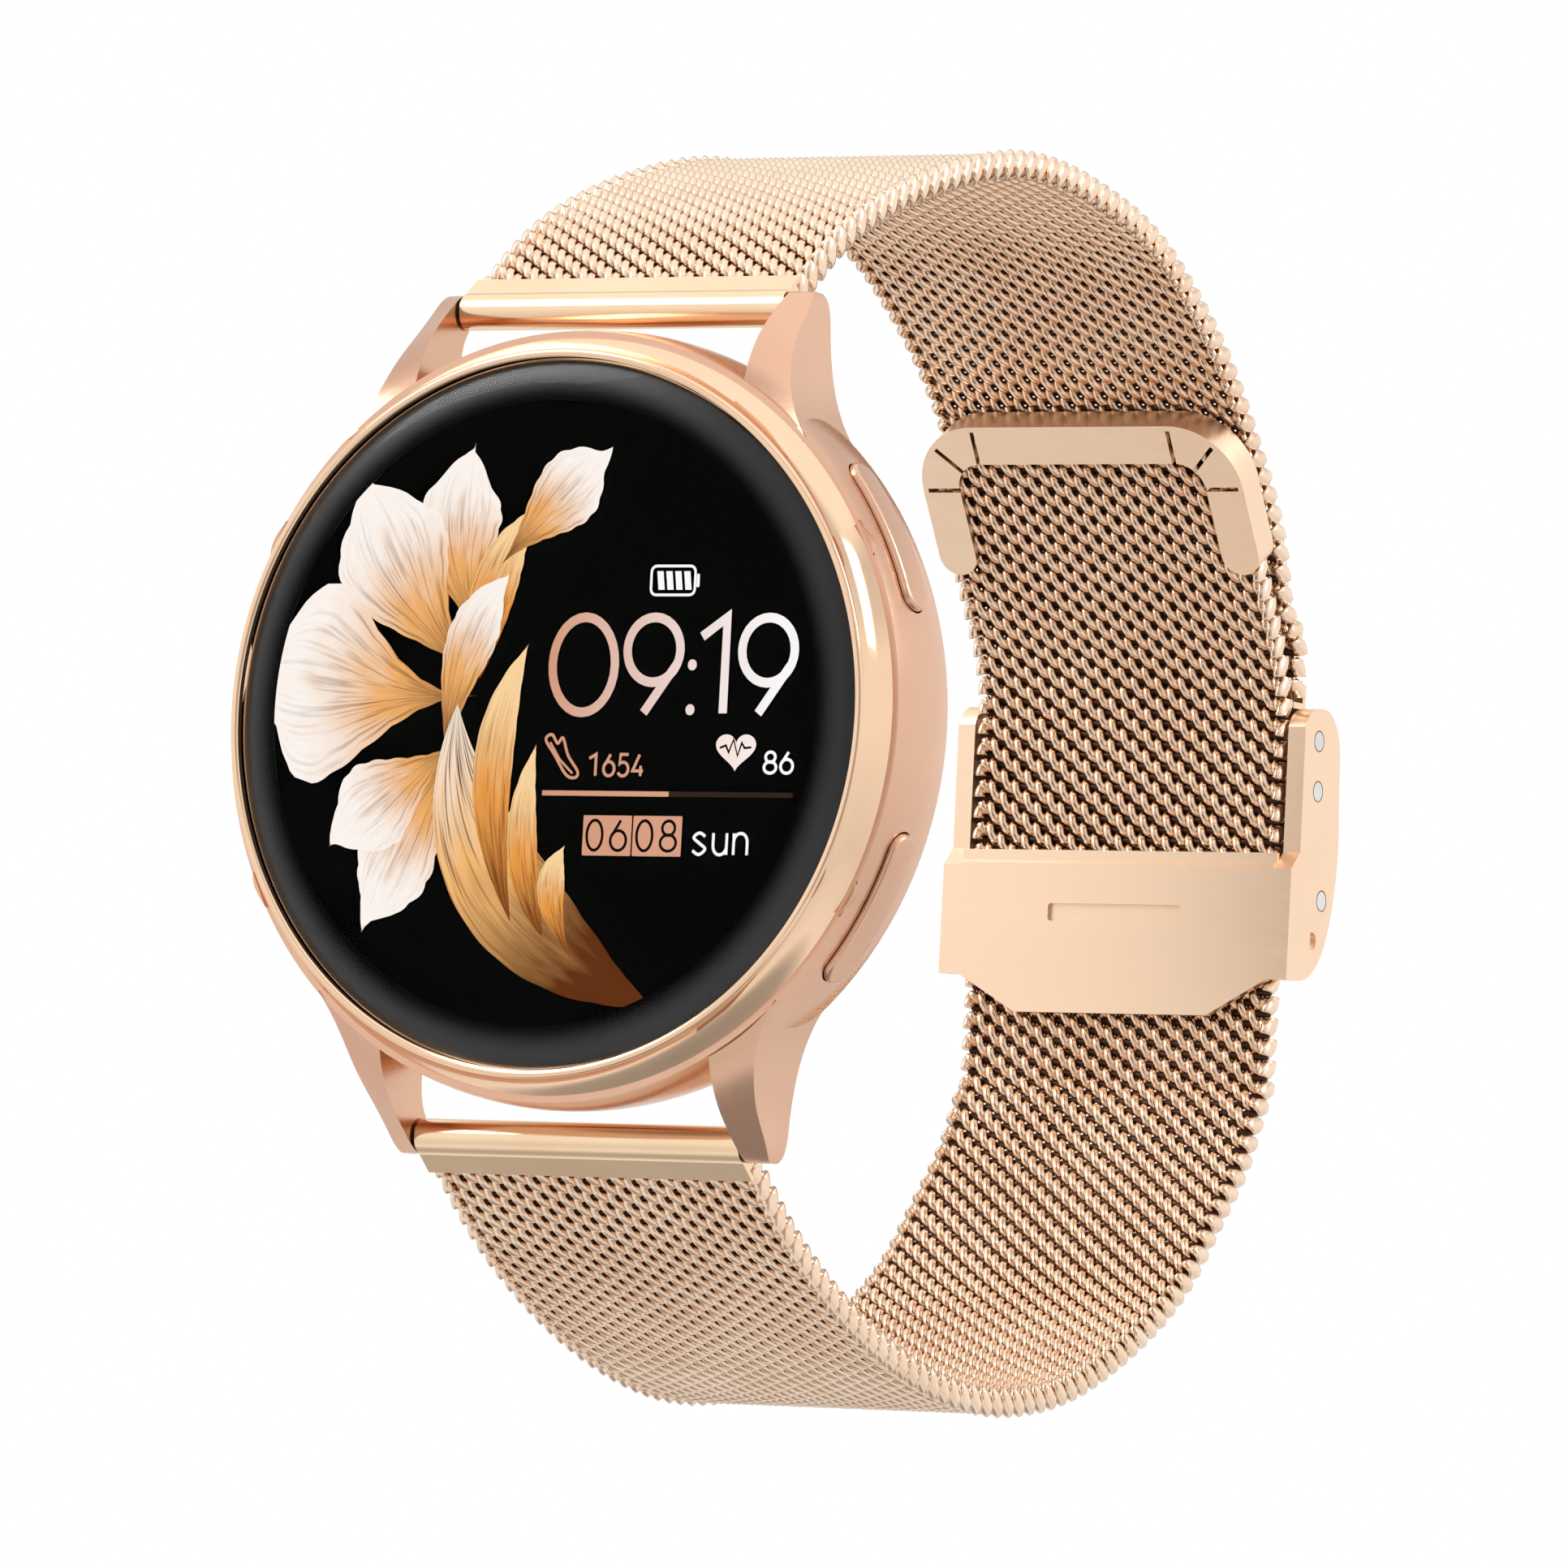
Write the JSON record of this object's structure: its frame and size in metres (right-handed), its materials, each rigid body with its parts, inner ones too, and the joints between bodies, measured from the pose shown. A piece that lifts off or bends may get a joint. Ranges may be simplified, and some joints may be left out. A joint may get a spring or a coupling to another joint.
{
  "type": "smartwatch",
  "caption": "Round smartwatch with domed glass, two side buttons and a woven metal mesh strap closed by a sliding clasp.",
  "frame": {"origin": "centre of the flat sensor window in the case back", "axes": "dial faces -Y, 12 o'clock is +Z, the buttons are on the +X side"},
  "size_m": [0.0456, 0.0782, 0.0759],
  "materials": {
    "case_metal": "satin rose-gold plating",
    "bezel_metal": "polished rose-gold plating",
    "clasp_metal": "satin rose-gold plating",
    "mesh_metal": "woven, polished wire",
    "tube_metal": "polished rose-gold plating",
    "glass": "clear, domed",
    "clear_film": "clear film",
    "display": "gloss black",
    "adhesive": "matte black",
    "black_plastic": "fine matte",
    "back_plastic": "satin",
    "window": "gloss, dark tint",
    "seal": "matte",
    "board": "solder mask",
    "chip": "matte",
    "flex": "satin",
    "foil": "satin foil",
    "steel": "machined",
    "contact": "gold plated",
    "led": "clear epoxy"
  },
  "bodies": {
    "case": {"case_body": "case_metal", "bezel_ring": "bezel_metal", "cover_glass": "glass", "glass_adhesive": "adhesive", "touch_sensor": "clear_film", "display_panel": "display", "display_flex": "flex", "mid_frame": "black_plastic", "battery": "foil", "main_board": "board", "board_chips": "chip", "vibration_motor_base": "steel", "vibration_motor_can": "steel", "case_back": "back_plastic", "case_back_gasket": "seal", "case_back_screws": "steel", "sensor_window": "window", "sensor_board": "board", "sensor_leds": "led", "charging_contacts": "contact", "upper_button_seal": "seal", "lower_button_seal": "seal", "upper_button_switch": "black_plastic", "lower_button_switch": "black_plastic", "upper_spring_bar": "steel", "lower_spring_bar": "steel", "upper_bar_spring_right": "steel", "upper_bar_spring_left": "steel", "lower_bar_spring_right": "steel", "lower_bar_spring_left": "steel"},
    "rotor": {"vibration_motor_rotor": "steel"},
    "upper_button": {"upper_button": "case_metal"},
    "lower_button": {"lower_button": "case_metal"},
    "upper_tip_right": {"upper_bar_tip_right": "steel"},
    "upper_tip_left": {"upper_bar_tip_left": "steel"},
    "lower_tip_right": {"lower_bar_tip_right": "steel"},
    "lower_tip_left": {"lower_bar_tip_left": "steel"},
    "upper_strap": {"upper_strap_tube": "tube_metal", "upper_strap_mesh": "mesh_metal", "upper_strap_hook": "clasp_metal"},
    "lower_strap": {"lower_strap_tube": "tube_metal", "lower_strap_mesh": "mesh_metal", "free_end_trim": "clasp_metal"},
    "clasp": {"clasp_frame": "clasp_metal", "hook_bar": "steel", "guide_bar": "steel", "flap_pin": "steel"},
    "flap": {"clasp_flap": "clasp_metal"}
  },
  "joints": [
    {"name": "lower_strap_swing", "type": "hinge", "parent": "case", "child": "lower_strap", "pos_m": [0, -0.0032, -0.0244], "axis": [1, 0, 0], "range_deg": [-75, 0]},
    {"name": "upper_strap_swing", "type": "hinge", "parent": "case", "child": "upper_strap", "pos_m": [0, -0.0032, 0.0244], "axis": [1, 0, 0], "range_deg": [0, 75]},
    {"name": "clasp_slide", "type": "slide", "parent": "lower_strap", "child": "clasp", "axis": [0, 0, 1], "range_m": [-0.003, 0]},
    {"name": "flap_hinge", "type": "hinge", "parent": "clasp", "child": "flap", "pos_m": [0, 0.0649, -0.0046], "axis": [1, 0, 0], "range_deg": [-100, 0]},
    {"name": "upper_button_press", "type": "slide", "parent": "case", "child": "upper_button", "axis": [-0.8788, 0, -0.4772], "range_m": [0, 0.0004], "stiffness_N_per_m": 4000},
    {"name": "lower_button_press", "type": "slide", "parent": "case", "child": "lower_button", "axis": [-0.8788, 0, 0.4772], "range_m": [0, 0.0004], "stiffness_N_per_m": 4000},
    {"name": "vibration_spin", "type": "hinge", "parent": "case", "child": "rotor", "pos_m": [0, -0.0063, -0.0139], "axis": [0, 1, 0], "continuous": true},
    {"name": "upper_tip_right_slide", "type": "slide", "parent": "case", "child": "upper_tip_right", "axis": [-1, 0, 0], "range_m": [0, 0.0011], "stiffness_N_per_m": 1500, "deforming": ["upper_bar_spring_right"]},
    {"name": "upper_tip_left_slide", "type": "slide", "parent": "case", "child": "upper_tip_left", "axis": [1, 0, 0], "range_m": [0, 0.0011], "stiffness_N_per_m": 1500, "deforming": ["upper_bar_spring_left"]},
    {"name": "lower_tip_right_slide", "type": "slide", "parent": "case", "child": "lower_tip_right", "axis": [-1, 0, 0], "range_m": [0, 0.0011], "stiffness_N_per_m": 1500, "deforming": ["lower_bar_spring_right"]},
    {"name": "lower_tip_left_slide", "type": "slide", "parent": "case", "child": "lower_tip_left", "axis": [1, 0, 0], "range_m": [0, 0.0011], "stiffness_N_per_m": 1500, "deforming": ["lower_bar_spring_left"]}
  ],
  "couplings": [
    {"joint": "upper_strap_swing", "follows": "lower_strap_swing", "ratio": -1}
  ]
}
